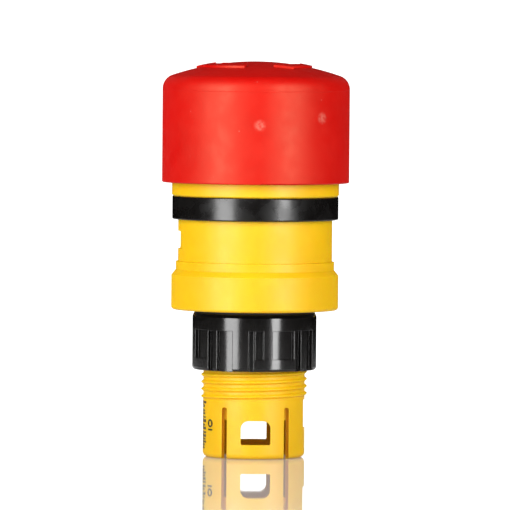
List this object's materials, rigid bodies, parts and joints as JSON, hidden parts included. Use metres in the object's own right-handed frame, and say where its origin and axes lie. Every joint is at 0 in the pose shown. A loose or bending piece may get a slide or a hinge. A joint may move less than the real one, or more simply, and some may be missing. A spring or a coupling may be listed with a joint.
{
  "type": "emergency stop button",
  "caption": "Emergency stop button: a red turn-to-release mushroom cap over a yellow threaded housing with a black band, held in its panel hole by a ribbed ring nut.",
  "frame": {"origin": "centre of the panel hole, on the flange's underside, which is the face that lies on the panel", "axes": "+Z out of the panel along the button's axis towards the operator; -Y is the front, which one of the tail's two latch windows faces; +X is to the right seen from the front"},
  "size_m": [0.039, 0.039, 0.0824],
  "materials": {
    "yellow_plastic": "moulded thermoplastic, satin",
    "red_plastic": "moulded thermoplastic, satin",
    "black_plastic": "moulded thermoplastic, semi-gloss",
    "acetal": "acetal, natural white",
    "dark_acetal": "acetal, dark grey",
    "rubber": "nitrile rubber, matt",
    "spring_steel": "bright spring steel"
  },
  "bodies": {
    "housing": {"housing": "yellow_plastic", "guard_collar": "yellow_plastic", "status_band": "black_plastic", "panel_gasket": "rubber", "shaft_seal": "rubber", "latch_carrier": "acetal", "return_spring": "spring_steel"},
    "plunger": {"plunger": "dark_acetal", "retaining_ring": "spring_steel", "sleeve_ring": "spring_steel", "contact_ram": "acetal", "ram_screw": "spring_steel"},
    "cap": {"mushroom_cap": "red_plastic", "release_sleeve": "dark_acetal", "cap_clip": "spring_steel", "twist_spring": "spring_steel"},
    "latch_left": {"latch_pin_left": "spring_steel", "latch_spring_left": "spring_steel"},
    "latch_right": {"latch_pin_right": "spring_steel", "latch_spring_right": "spring_steel"},
    "washer": {"thrust_washer": "black_plastic"},
    "nut": {"ring_nut": "black_plastic"}
  },
  "joints": [
    {"name": "press", "type": "slide", "parent": "housing", "child": "plunger", "axis": [0, 0, -1], "range_m": [0, 0.005], "stiffness_N_per_m": 3000, "springref_m": -0.003, "deforming": ["return_spring"]},
    {"name": "twist", "type": "hinge", "parent": "plunger", "child": "cap", "pos_m": [0, 0, 0.04], "axis": [0, 0, -1], "range_deg": [0, 45], "stiffness_Nm_per_rad": 0.05, "springref_deg": -17.19, "deforming": ["twist_spring"]},
    {"name": "latch_left", "type": "slide", "parent": "housing", "child": "latch_left", "axis": [1, 0, 0], "range_m": [0, 0.0008], "deforming": ["latch_spring_left"]},
    {"name": "latch_right", "type": "slide", "parent": "housing", "child": "latch_right", "axis": [-1, 0, 0], "range_m": [0, 0.0008], "deforming": ["latch_spring_right"]},
    {"name": "nut_travel", "type": "slide", "parent": "housing", "child": "washer", "axis": [0, 0, -1], "range_m": [0, 0.0105]},
    {"name": "nut_turn", "type": "hinge", "parent": "washer", "child": "nut", "pos_m": [0, 0, -0.0066], "axis": [0, 0, -1], "range_deg": [0, 2520]}
  ],
  "couplings": [
    {"joint": "latch_left", "follows": "press", "ratio": 0.16},
    {"joint": "latch_right", "follows": "press", "ratio": 0.16},
    {"joint": "nut_turn", "follows": "nut_travel", "rad_per_m": 4188.8}
  ]
}
